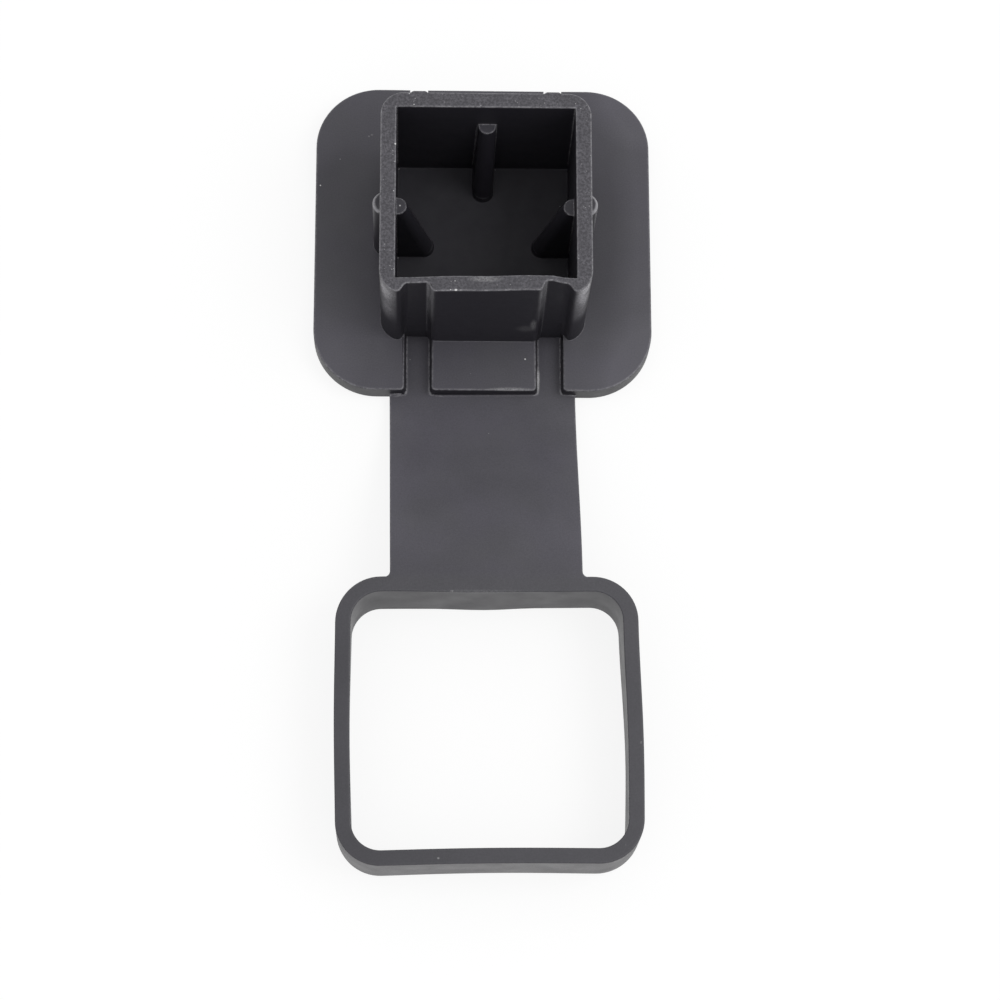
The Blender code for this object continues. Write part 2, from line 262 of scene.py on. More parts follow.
# Painted highlights on the plug's corner posts and groove flanks, broken up by blotches and grit
FLANK_PLACE = GROOVE_SPACING / 2 - GROOVE_FLOOR_HALF_WIDTH - 0.7 * MM
FLANK_HIGHLIGHT = (1.0 * MM, 0.5 * MM, 0.0, 0.4)
FLANK_WALL = (PLUG_CENTRE_Y - HOLLOW_HALF, PLUG_CENTRE_Y - HOLLOW_HALF - MM)
POST_HIGHLIGHT = (HOLLOW_HALF - 0.5 * MM, HOLLOW_HALF + 1.5 * MM)
HIGHLIGHT_HEIGHT = (0.42 * RIM_HEIGHT, 0.9 * RIM_HEIGHT)
HIGHLIGHT_LIMIT = (PLUG_HALF + MM, PLUG_HALF + 0.5 * MM)
HIGHLIGHT_BLOTCHES = (0.35, 0.6, 0.5, 1.0)
HIGHLIGHT_GRIT = (0.42, 0.6, 0.3, 1.0)

# Painted highlights on the ribs' outer sides and round their crowns
RIB_SIDE = (PLUG_HALF + 1.1 * MM, PLUG_HALF + RIB_REACH)
RIB_RISE = (0.3 * RIM_HEIGHT, RIB_HEIGHT, 0.0, 0.32)
CROWN_RISE = (RIB_HEIGHT - 1.3 * RIB_TOP_ROUND, RIB_HEIGHT - RIB_TOP_ROUND)
CROWN_TURN = (0.95, 0.8, 0.0, 0.35)
CROWN_SIDE = (PLUG_HALF + 0.2 * MM, PLUG_HALF + 0.7 * MM)
RIB_PLACE = (2 * RIB_RADIUS, RIB_RADIUS)

# Mottled rim
RIM_CLOUDED = (0.35, 0.65, 0.5, 1.0)
RIM_GRAINED = (0.42, 0.60)
RIM_LOW_SIDE = (-21 * MM, -26 * MM, 1.0, 0.72)

# Painted highlights along edges: the height of each edge's top, the line's size down from it, and its
# strength
EDGE_HIGHLIGHTS = ((RIM_HEIGHT, 2 * RIM_ROUND, 0.6),
              (RIB_HEIGHT, 1.2 * RIB_TOP_ROUND, 1.0),
              (PLATE_THICKNESS, PAD_TOP_ROUND, 0.4))
PAD_FOOT_TOP = BASE_THICKNESS + PAD_FOOT_FILLET
PAD_FOOT_SIDEWAYS = (0.2, 0.6, 0.0, 0.7)
LINE_FADE = 0.9
LINE_TURN = (0.99, 0.9)
LINE_STEEP = (0.1, 0.3)
LINE_ON_PLATE = (PLATE_LOWER_EDGE - 2 * MM, PLATE_LOWER_EDGE - MM)
LINE_TOP = (0.2 * MM, 0.1 * MM)

# Edges worn pale and given painted highlights: how wide, how sharply the skin turns there, and how much is
# left or lost in some areas
EDGE_WIDTH = 0.6 * MM
EDGE_TURN = (0.995, 0.90)
EDGE_SAMPLES = 6
PLUG_FOOT_RISE = (PLATE_THICKNESS + MM, PLATE_THICKNESS + 0.5 * MM)
PLUG_FOOT_SIDE = (PLUG_HALF + 3 * MM, PLUG_HALF + 2.5 * MM)
BELOW_RIM = (RIM_HEIGHT - 1.2 * MM, RIM_HEIGHT - 1.7 * MM)
UPPER_WALL = (21 * MM, 21.5 * MM)
LOWER_WALL = (-21.5 * MM, -22 * MM)
ABOVE_PLATE = (PLATE_THICKNESS, PLATE_THICKNESS + MM)
LOOP_WEAR_AND_HIGHLIGHT_LOSS = 0.5
RIM_WEAR_AND_HIGHLIGHT = 0.7
UPPER_WALL_WEAR_AND_HIGHLIGHT = 0.2
LOWER_WALL_WEAR_AND_HIGHLIGHT = 0.45
EDGES_BROKEN = (0.38, 0.62, 0.15, 1.0)

# Stray specks: scale of their cells, size, and share of the cells that have one
STRAY_SPECKS = (700, 0.09, 0.006)
STRAY_SPECK_STRENGTH = 0.4
RIM_SPECKS = (2400, 0.22, 0.10)
RIM_SPECK_BLOTCHES = (0.45, 0.6)

# Crumbs of dust that the photograph shows: place and radius in mm
CRUMBS = ((-6.8, -25.9, 40.5, 0.38), (-8.0, -25.8, 40.5, 0.15), (-5.7, -25.9, 40.5, 0.16),
          (-8.8, -26.0, 40.5, 0.12), (-7.0, -23.7, 40.5, 0.14), (-19.6, -1.8, 30.8, 0.22),
          (-38.9, 13.1, 6.0, 0.2), (10.0, -30.4, 6.0, 0.22), (-20.1, 18.2, 4.4, 0.2),
          (-20.2, -4.6, 4.4, 0.16), (-17.6, 21.8, 40.4, 0.2), (-16.5, 19.1, 40.4, 0.2),
          (-20.7, 9.4, 40.4, 0.28), (3.0, 18.2, 4.4, 0.16), (-21.0, -2.1, 40.5, 0.13))

# Faint smears, and painted highlights: the third a bright line on the middle pad's right side in the right
# channel, the fourth a line along the middle pad's lower edge on its right half, the ninth a band along the
# top of the loop's upper bar on its inner face. Each: place in mm, half sizes in mm, and strength
SMEARS_AND_HIGHLIGHTS = (((11.5, -26.0, 17.5), (0.9, 1.0, 4.5), 0.16),
          ((9.9, -26.0, 15.0), (2.8, 1.0, 2.6), 0.07),
          ((13.1, -34.5, 3.0), (0.6, 3.8, 1.5), 0.6),
          ((6.5, -37.9, 5.9), (6.0, 0.6, 0.6), 0.25),
          ((-27.4, 25.9, 6.0), (0.35, 0.3, 0.5), 0.12),
          ((-26.7, 26.3, 6.0), (0.4, 0.3, 0.5), 0.15),
          ((-0.3, -23.2, 40.5), (4.2, 0.8, 1.0), 0.22),
          ((-30.2, -95.0, 9.0), (2.5, 4.5, 7.0), 0.06),
          ((-1.0, -89.7, 15.7), (18.0, 1.0, 0.9), 0.09),
          ((-27.0, -149.0, 6.0), (7.0, 3.0, 7.0), 0.09),
          ((-10.0, -150.15, 16.2), (0.35, 0.3, 0.3), 0.35),
          ((-7.2, -89.4, 16.2), (0.45, 0.25, 0.3), 0.35),
          ((35.2, -124.0, 16.2), (0.3, 0.4, 0.3), 0.2))
SMEAR_GRIT = (0.42, 0.60, 0.25, 1.0)
SPOT_CORE = 0.4

# Table and light
TABLE_SIZE = 8
TABLE_LIFT = 2 * TINY
TABLE_WHITE = (0.8, 0.8, 0.8, 1)
TABLE_GLOW = 1.065
TABLE_GLOW_SHARE = 0.8
WORLD_WHITE = (1, 1, 1, 1)
WORLD_LEVEL = 0.8
LAMP_PLACE = (0.7, -0.1, 1.0)
LAMP_TARGET = (0, -0.05, 0)
LAMP_SIZE = 0.7
LAMP_POWER = 4.0

# Camera: its place in mm, its three directions, its lens and sensor in mm, and its nearest sight in m
CAMERA_PLACE = (-14.44, -245.94, 640.79)
CAMERA_RIGHT = (0.99959, -0.00156, 0.02861)
CAMERA_UP = (-0.00634, 0.96172, 0.27398)
CAMERA_BACK = (-0.02795, -0.27404, 0.96131)
CAMERA_LENS = 102.29
CAMERA_SENSOR = 36
CAMERA_NEAREST = 0.01


def close_editing():
    if bpy.context.mode != "OBJECT":
        bpy.ops.object.mode_set(mode="OBJECT")


def edit(piece):
    """Opens one piece for modelling, with nothing on it selected."""
    close_editing()
    bpy.ops.object.select_all(action="DESELECT")
    bpy.context.view_layer.objects.active = piece
    piece.select_set(True)
    bpy.ops.object.mode_set(mode="EDIT")
    bpy.ops.mesh.select_all(action="DESELECT")


def name_piece(name):
    """Names the primitive just added and puts its place into its mesh."""
    piece = bpy.context.object
    piece.name = name
    piece.data.name = name
    bpy.ops.object.transform_apply(location=True, rotation=True, scale=True)
    return piece


def block(name, low, high):
    close_editing()
    centre = [(a + b) / 2 for a, b in zip(low, high)]
    size = [b - a for a, b in zip(low, high)]
    bpy.ops.mesh.primitive_cube_add(size=1, location=centre, scale=size)
    return name_piece(name)


def peg(name, x, y, low, high, radius):
    close_editing()
    place = (x, y, (low + high) / 2)
    bpy.ops.mesh.primitive_cylinder_add(vertices=PEG_SIDES, radius=radius, depth=high - low, location=place)
    return name_piece(name)


def pick(piece, kind, test):
    """Selects the vertices, edges or faces of the open piece that pass a test."""
    mode = {"verts": "VERT", "edges": "EDGE", "faces": "FACE"}[kind]
    bpy.ops.mesh.select_mode(type=mode)
    bpy.ops.mesh.select_all(action="DESELECT")
    work = bmesh.from_edit_mesh(piece.data)
    for item in getattr(work, kind):
        if test(item):
            item.select_set(True)
    bmesh.update_edit_mesh(piece.data)


def near(value, target, slack=TINY):
    return abs(value - target) < slack


def middle(edge):
    return (edge.verts[0].co + edge.verts[1].co) / 2


def upright(edge):
    a, b = (vert.co for vert in edge.verts)
    return near(a.x, b.x) and near(a.y, b.y)


def at_height(edge, height):
    return all(near(vert.co.z, height) for vert in edge.verts)


def rim_edge(edge, height):
    """An edge between a level face at one height and a side."""
    level = [abs(face.normal.z) > LEVEL for face in edge.link_faces]
    return at_height(edge, height) and any(level) and not all(level)


def move(x=0, y=0, z=0):
    bpy.ops.transform.translate(value=(x, y, z))


def bevel(size, segments):
    bpy.ops.mesh.bevel(offset_type="OFFSET", offset=size, segments=segments, profile=0.5,
                       affect="EDGES", clamp_overlap=False)


def bisect(place, normal):
    bpy.ops.mesh.select_all(action="SELECT")
    bpy.ops.mesh.bisect(plane_co=place, plane_no=normal)


def bisect_top(piece, place, normal, end=0):
    """Draws a line across the upward faces alone, or only those at one end of the plate.

    The sides stay whole.
    """
    def upward(face):
        beyond = end == 0 or end * (face.calc_center_median().y - channel_start(end)) > 0
        return face.normal.z > LEVEL and beyond

    pick(piece, "faces", upward)
    bpy.ops.mesh.bisect(plane_co=place, plane_no=normal)


def bend(piece, bends):
    """Pulls the skin at each place and lets the skin around it follow softly."""
    edit(piece)
    for place, reach, give in bends:
        spot = Vector(place) * MM
        gap = min((vert.co - spot).length for vert in piece.data.vertices)
        pick(piece, "verts", lambda vert: (vert.co - spot).length < gap + TINY)
        bpy.ops.transform.translate(value=Vector(give) * MM, use_proportional_edit=True,
                                    proportional_edit_falloff="SMOOTH", proportional_size=reach * MM)
    close_editing()


def extrude(x, y, z):
    bpy.ops.mesh.extrude_region_move(TRANSFORM_OT_translate={"value": (x, y, z)})


def join(piece, other, operation="UNION"):
    close_editing()
    step = piece.modifiers.new(operation.lower(), "BOOLEAN")
    step.operation = operation
    step.object = other
    step.solver = "EXACT"
    bpy.context.view_layer.objects.active = piece
    bpy.ops.object.modifier_apply(modifier=step.name)
    bpy.data.objects.remove(other, do_unlink=True)


def channel_start(end):
    """Where a channel starts, a little inside the plug's wall: end is -1 or 1 in Y."""
    depth = GROOVE_DEPTH if end < 0 else 0
    return PLUG_CENTRE_Y + end * (PLUG_HALF - depth - CHANNEL_SINK)


def channel_centre(side, end):
    if end < 0:
        return CHANNEL_SHIFT + side * CHANNEL_SPACING / 2
    return NOTCH_SHIFT + side * NOTCH_SPACING / 2


def channel_half_width(end):
    return CHANNEL_FOOT_HALF_WIDTH if end < 0 else NOTCH_HALF_WIDTH


def in_channel(place):
    end = 1 if place.y > 0 else -1
    if end * (place.y - channel_start(end)) < 0:
        return False
    return min(abs(place.x - channel_centre(side, end)) for side in (-1, 1)) < channel_half_width(end)


def plate():
    """The base, cut into fields by lines, and the pads extruded from the fields beside the channels."""
    piece = block("rubber_cover", (-PLATE_HALF_WIDTH, PLATE_LOWER_EDGE, 0),
                  (PLATE_HALF_WIDTH, PLATE_UPPER_EDGE, BASE_THICKNESS))
    edit(piece)
    pick(piece, "edges", upright)
    bevel(PLATE_CORNER_RADIUS, segments=24)
    for side in (-1, 1):
        bisect((side * STRAP_HALF_WIDTH, 0, 0), (1, 0, 0))
    for end in (-1, 1):
        bisect_top(piece, (0, channel_start(end), 0), (0, 1, 0))
    for end in (-1, 1):
        for side in (-1, 1):
            for flank in (-1, 1):
                line = channel_centre(side, end) + flank * channel_half_width(end)
                bisect_top(piece, (line, 0, 0), (1, 0, 0), end)
    pick(piece, "faces", lambda face: face.normal.z > LEVEL and not in_channel(face.calc_center_median()))
    extrude(0, 0, PLATE_THICKNESS - BASE_THICKNESS)
    slope_channel_walls(piece)
    round_pads(piece)
    close_editing()
    return piece


def slope_channel_walls(piece):
    for side in (-1, 1):
        for flank in (-1, 1):
            line = channel_centre(side, -1) + flank * CHANNEL_FOOT_HALF_WIDTH

            def on_wall_top(vert):
                below = vert.co.y < channel_start(-1) + TINY
                return near(vert.co.z, PLATE_THICKNESS) and near(vert.co.x, line) and below

            pick(piece, "verts", on_wall_top)
            move(x=flank * CHANNEL_DRAFT)


def round_pads(piece):
    def at_mouth(edge):
        heights = sorted(vert.co.z for vert in edge.verts)
        rises = near(heights[0], BASE_THICKNESS) and near(heights[1], PLATE_THICKNESS)
        gap = min(abs(middle(edge).x - channel_centre(side, -1)) for side in (-1, 1))
        beside = abs(gap - CHANNEL_FOOT_HALF_WIDTH) < CHANNEL_DRAFT
        return rises and beside and near(middle(edge).y, PLATE_LOWER_EDGE)

    pick(piece, "edges", at_mouth)
    bevel(PAD_CORNER_RADIUS, segments=6)
    pick(piece, "edges", lambda edge: rim_edge(edge, PLATE_THICKNESS))
    bevel(PAD_TOP_ROUND, segments=3)


def front_edge(piece):
    """Rounds the plate's outline at its front, apart from the strap's root."""
    def on_outline(edge):
        place = middle(edge)
        at_root = near(place.y, PLATE_LOWER_EDGE) and abs(place.x) < STRAP_HALF_WIDTH
        return rim_edge(edge, 0) and not at_root

    edit(piece)
    pick(piece, "edges", on_outline)
    bevel(FRONT_ROUND, segments=4)
    close_editing()


def strap_shape(row):
    """How far along a row lies from the plate's edge, and how much wider than the strap it is."""
    straight = STRAP_LENGTH - JOINT_RADIUS + JOINT_SEAT
    if row <= STRAP_ROWS:
        return straight * row / STRAP_ROWS, 0.0
    turn = math.pi / 2 * (row - STRAP_ROWS) / JOINT_ROWS
    return straight + JOINT_RADIUS * math.sin(turn), JOINT_RADIUS * (1 - math.cos(turn))


def strap_rise(along):
    """The strap's height above its root: a soft S from the plate to the loop's upper face."""
    share = min(along / STRAP_LENGTH, 1.0)
    return (LOOP_DEPTH - BASE_THICKNESS) * share ** 2 * (3 - 2 * share)


def strap(piece):
    """The strap, extruded row by row out of the base's lower side, rising to the loop's upper face."""
    def root(face):
        place = face.calc_center_median()
        return (face.normal.y < -LEVEL and near(place.y, PLATE_LOWER_EDGE)
                and place.z < BASE_THICKNESS and abs(place.x) < STRAP_HALF_WIDTH)

    def on_side(edge):
        a, b = (vert.co for vert in edge.verts)
        runs_along = abs(a.y - b.y) > TINY and edge.calc_face_angle(0) > SHARP_ANGLE
        outside = min(abs(a.x), abs(b.x)) > STRAP_HALF_WIDTH - TINY
        return runs_along and outside and max(a.y, b.y) < PLATE_LOWER_EDGE + TINY

    edit(piece)
    pick(piece, "faces", root)
    last_row = STRAP_ROWS + JOINT_ROWS
    along, wider = 0.0, 0.0
    for row in range(1, last_row + 2):
        if row > last_row:
            next_along, next_wider = STRAP_LENGTH + SINK, wider
        else:
            next_along, next_wider = strap_shape(row)
        extrude(0, along - next_along, strap_rise(next_along) - strap_rise(along))
        ratio = (STRAP_HALF_WIDTH + next_wider) / (STRAP_HALF_WIDTH + wider)
        bpy.ops.transform.resize(value=(ratio, 1, 1), center_override=(0, 0, 0))
        along, wider = next_along, next_wider
    pick(piece, "edges", on_side)
    bevel(STRAP_EDGE_ROUND, segments=2)
    close_editing()


def pad_feet(piece):
    """Fillets where the pads stand on the base and on the strap."""
    def foot(edge):
        below_plug = middle(edge).y < channel_start(-1) - TINY
        if not at_height(edge, BASE_THICKNESS) or not below_plug:
            return False
        return edge.calc_face_angle_signed() < CONCAVE_ANGLE

    edit(piece)
    pick(piece, "edges", foot)
    bevel(PAD_FOOT_FILLET, segments=3)
    close_editing()


def loop():
    """The deep square band: a block with round corners, opened by an inset and a bridge."""
    upper = PLATE_LOWER_EDGE - STRAP_LENGTH
    piece = block("loop", (-LOOP_WIDTH / 2, upper - LOOP_HEIGHT, 0), (LOOP_WIDTH / 2, upper, LOOP_DEPTH))
    edit(piece)
    pick(piece, "edges", upright)
    bevel(LOOP_CORNER_RADIUS, segments=16)
    pick(piece, "faces", lambda face: abs(face.normal.z) > LEVEL)
    bpy.ops.mesh.inset(thickness=LOOP_BAR, use_even_offset=True)
    bpy.ops.mesh.bridge_edge_loops()
    for i in range(-LOOP_LINES_EACH_WAY, LOOP_LINES_EACH_WAY + 1):
        bisect((i * LOOP_WIDTH / LOOP_PARTS, 0, 0), (1, 0, 0))
        bisect((0, upper - LOOP_HEIGHT / 2 + i * LOOP_HEIGHT / LOOP_PARTS, 0), (0, 1, 0))
    pick(piece, "edges", lambda edge: rim_edge(edge, 0) or rim_edge(edge, LOOP_DEPTH))
    bevel(LOOP_EDGE_ROUND, segments=3)
    close_editing()
    return piece


def lean(piece):
    """Turns the strap and the loop about the strap's root by the strap's small sideways lean."""
    edit(piece)
    pick(piece, "verts", lambda vert: vert.co.y < PLATE_LOWER_EDGE - TINY)
    bpy.ops.transform.rotate(value=-STRAP_LEAN, orient_axis="Z", orient_type="GLOBAL",
                             center_override=(0, PLATE_LOWER_EDGE, 0))
    close_editing()


def plug():
    """The plug's block, with two grooves cut into its lower wall and two low swells on its upper one."""
    piece = block("plug", (-PLUG_HALF, PLUG_CENTRE_Y - PLUG_HALF, BASE_THICKNESS / 2),
                  (PLUG_HALF, PLUG_CENTRE_Y + PLUG_HALF, RIM_HEIGHT))
    edit(piece)
    pick(piece, "edges", upright)
    bevel(PLUG_CORNER_RADIUS, segments=16)
    close_editing()
    for side in (-1, 1):
        join(piece, groove(side), "DIFFERENCE")
        join(piece, swell(side))
    groove_shoulders(piece)
    return piece


def flank_share(row):
    """How far up the round S of a flank a line lies, from nothing to one."""
    return 0.5 - 0.5 * math.cos(math.pi * row / GROOVE_FLANK_ROWS)


def groove(side):
    """A block as wide as the groove's floor, its flanks moved out line by line in a round S."""
    wall = PLUG_CENTRE_Y - PLUG_HALF
    floor_y = wall + GROOVE_DEPTH
    centre = CHANNEL_SHIFT + side * GROOVE_SPACING / 2
    piece = block("groove", (centre - GROOVE_FLOOR_HALF_WIDTH, wall - SINK, 0),
                  (centre + GROOVE_FLOOR_HALF_WIDTH, floor_y, RIM_HEIGHT + SINK))
    edit(piece)
    for row in range(1, GROOVE_FLANK_ROWS):
        bisect((0, floor_y - GROOVE_DEPTH * flank_share(row), 0), (0, 1, 0))
    for flank in (-1, 1):
        width = GROOVE_OUTER_FLANK if flank == side else GROOVE_INNER_FLANK
        for row in range(1, GROOVE_FLANK_ROWS + 1):
            line = floor_y - GROOVE_DEPTH * flank_share(row) if row < GROOVE_FLANK_ROWS else wall - SINK
            pick(piece, "verts", lambda vert: near(vert.co.y, line) and flank * (vert.co.x - centre) > 0)
            move(x=flank * width * row / GROOVE_FLANK_ROWS)
    close_editing()
    return piece


def swell(side):
    """The low, flat bulge of the upper wall behind a notch of the plate."""
    wall = PLUG_CENTRE_Y + PLUG_HALF
    centre = side * SWELL_SPACING / 2
    piece = block("swell", (centre - SWELL_HALF_WIDTH, wall - SINK, BASE_THICKNESS / 2),
                  (centre + SWELL_HALF_WIDTH, wall + SWELL_REACH, RIM_HEIGHT))
    edit(piece)
    for row in range(1, GROOVE_FLANK_ROWS):
        bisect((0, wall + SWELL_REACH * flank_share(row), 0), (0, 1, 0))
    for flank in (-1, 1):
        for row in range(GROOVE_FLANK_ROWS):
            line = wall + SWELL_REACH * flank_share(row) if row else wall - SINK

            def on_line(vert):
                return near(vert.co.y, line, SWELL_SLACK) and flank * (vert.co.x - centre) > 0

            pick(piece, "verts", on_line)
            move(x=flank * SWELL_FLANK * (1 - row / GROOVE_FLANK_ROWS))
    close_editing()
    return piece


def groove_shoulders(piece):
    """Rounds the sharp upright edges beside the grooves, once the lines close to them are gone."""
    def shoulder(edge):
        if not upright(edge) or middle(edge).y > PLUG_CENTRE_Y - PLUG_HALF + GROOVE_DEPTH / 2:
            return False
        return edge.calc_face_angle_signed(0) > SHOULDER_ANGLE

    edit(piece)
    pick(piece, "edges", shoulder)
    work = bmesh.from_edit_mesh(piece.data)
    corners = [middle(edge).copy() for edge in work.edges if edge.select]

    def gaps(edge):
        return [(middle(edge) - corner).length for corner in corners]

    def beside(edge):
        return upright(edge) and any(TINY < gap < SHOULDER_ROUND for gap in gaps(edge))

    pick(piece, "edges", beside)
    bpy.ops.mesh.dissolve_edges(use_verts=True)
    pick(piece, "edges", lambda edge: upright(edge) and any(gap < TINY for gap in gaps(edge)))
    bevel(SHOULDER_ROUND, segments=6)
    close_editing()


def rib(side):
    piece = peg("rib", side * (PLUG_HALF + RIB_REACH - RIB_RADIUS), PLUG_CENTRE_Y,
                BASE_THICKNESS, RIB_HEIGHT, RIB_RADIUS)
    edit(piece)
    pick(piece, "edges", lambda edge: rim_edge(edge, RIB_HEIGHT))
    bevel(RIB_TOP_ROUND, segments=4)
    close_editing()
    return piece


def hollow():
    piece = block("hollow", (-HOLLOW_HALF, PLUG_CENTRE_Y - HOLLOW_HALF, FLOOR_HEIGHT),
                  (HOLLOW_HALF, PLUG_CENTRE_Y + HOLLOW_HALF, RIM_HEIGHT + SINK))
    edit(piece)
    pick(piece, "edges", lambda edge: at_height(edge, FLOOR_HEIGHT))
    bevel(FLOOR_FILLET, segments=3)
    close_editing()
    return piece


def gusset(turn_deg, lean_by=0):
    """A tapering fin against one wall of the hollow, its free edge round."""
    near_x = HOLLOW_HALF - GUSSET_FOOT_REACH + GUSSET_FOOT_RADIUS
    far_x = HOLLOW_HALF + GUSSET_WALL_SINK - GUSSET_FOOT_RADIUS
    foot = FLOOR_HEIGHT - GUSSET_FLOOR_SINK
    piece = peg("gusset", near_x, 0, foot, GUSSET_HEIGHT, GUSSET_FOOT_RADIUS)
    edit(piece)
    pick(piece, "verts", lambda vert: vert.co.x > near_x + TINY)
    move(x=far_x - near_x)
    split = (near_x + far_x) / 2
    top_near_x = HOLLOW_HALF - GUSSET_TOP_REACH + GUSSET_TOP_RADIUS
    ratio = GUSSET_TOP_RADIUS / GUSSET_FOOT_RADIUS
    pick(piece, "verts", lambda vert: near(vert.co.z, GUSSET_HEIGHT) and vert.co.x < split)
    bpy.ops.transform.resize(value=(ratio, ratio, 1), center_override=(near_x, 0, GUSSET_HEIGHT))
    move(x=top_near_x - near_x)
    pick(piece, "verts", lambda vert: near(vert.co.z, GUSSET_HEIGHT) and vert.co.x > split + far_x / 4)
    bpy.ops.transform.resize(value=(ratio, ratio, 1), center_override=(far_x, 0, GUSSET_HEIGHT))
    pick(piece, "verts", lambda vert: near(vert.co.z, GUSSET_HEIGHT))
    move(y=lean_by)
    pick(piece, "edges", lambda edge: rim_edge(edge, GUSSET_HEIGHT))
    bevel(GUSSET_TOP_ROUND, segments=2)
    close_editing()
    piece.data.transform(Matrix.Translation((0, PLUG_CENTRE_Y, 0))
                         @ Matrix.Rotation(math.radians(turn_deg), 4, "Z"))
    return piece


def foot_fillets(piece):
    """Fillets where the plug, its ribs and the gussets stand on the faces below them."""
    def around_plug(edge):
        place = middle(edge)
        outside = abs(place.x) < PLUG_HALF + 2 * RIB_REACH and place.y > channel_start(-1) - 2 * GROOVE_DEPTH
        return at_height(edge, PLATE_THICKNESS) and outside

    def around_gusset(edge):
        place = middle(edge)
        inside = max(abs(place.x), abs(place.y - PLUG_CENTRE_Y)) < HOLLOW_HALF - FLOOR_FILLET - TINY
        return at_height(edge, FLOOR_HEIGHT) and inside

    edit(piece)
    for chosen, size in ((around_plug, PLUG_FOOT_FILLET), (around_gusset, GUSSET_FOOT_FILLET)):
        pick(piece, "edges", lambda edge: chosen(edge) and edge.calc_face_angle_signed(0) < CONCAVE_ANGLE)
        bevel(size, segments=2)
    close_editing()


def clean_plate_and_plug(piece):
    """Merges doubled points and dissolves lines that lie in flat faces, apart from the strap and the loop."""
    edit(piece)
    pick(piece, "verts", lambda vert: vert.co.y > PLATE_LOWER_EDGE - TINY)
    bpy.ops.mesh.remove_doubles(threshold=WELD)
    bpy.ops.mesh.dissolve_limited(angle_limit=FLAT_ANGLE)
    close_editing()


def wall_lines(piece):
    """Lines across and around the plug's free walls, so that they can be bent a little."""
    def free_wall(face):
        place = face.calc_center_median()
        return place.z > RIM_HEIGHT / 4 and place.y > -PLATE_UPPER_EDGE

    edit(piece)
    count = int(PLUG_HALF / WALL_LINE_GAP)
    lines = [((0, 0, RIM_HEIGHT * share), (0, 0, 1)) for share in WALL_LINE_SHARES]
    for i in range(-count, count + 1):
        lines.append(((i * WALL_LINE_GAP, 0, 0), (1, 0, 0)))
        lines.append(((0, PLUG_CENTRE_Y + i * WALL_LINE_GAP, 0), (0, 1, 0)))
    for place, normal in lines:
        pick(piece, "faces", free_wall)
        bpy.ops.mesh.bisect(plane_co=place, plane_no=normal)
    close_editing()


def round_rim(piece):
    edit(piece)
    pick(piece, "edges", lambda edge: rim_edge(edge, RIM_HEIGHT))
    bevel(RIM_ROUND, segments=3)
    close_editing()


def finish_mesh(piece):
    """Merges doubled points and shades the piece smooth but for its sharp edges."""
    edit(piece)
    bpy.ops.mesh.select_all(action="SELECT")
    bpy.ops.mesh.remove_doubles(threshold=WELD)
    close_editing()
    bpy.ops.object.shade_smooth_by_angle(angle=SMOOTH_ANGLE)
    soften = piece.modifiers.new("even_shading", "WEIGHTED_NORMAL")
    soften.keep_sharp = True
    bpy.ops.object.modifier_apply(modifier=soften.name)


def model_cover():
    """Plate, strap and loop first, then the plug on the plate, then the bends and edges of its walls."""
    cover = plate()
    front_edge(cover)
    strap(cover)
    pad_feet(cover)
    join(cover, loop())
    bend(cover, LOOP_BENDS)
    lean(cover)
    core = plug()
    for side in (-1, 1):
        join(core, rib(side))
    join(cover, core)
    join(cover, hollow(), "DIFFERENCE")
    for turn_deg in (0, 90, 180, 270):
        join(cover, gusset(turn_deg, -TOP_GUSSET_LEAN if turn_deg == 90 else 0))
    foot_fillets(cover)
    clean_plate_and_plug(cover)
    wall_lines(cover)
    bend(cover, RIM_BENDS)
    round_rim(cover)
    finish_mesh(cover)
    return cover


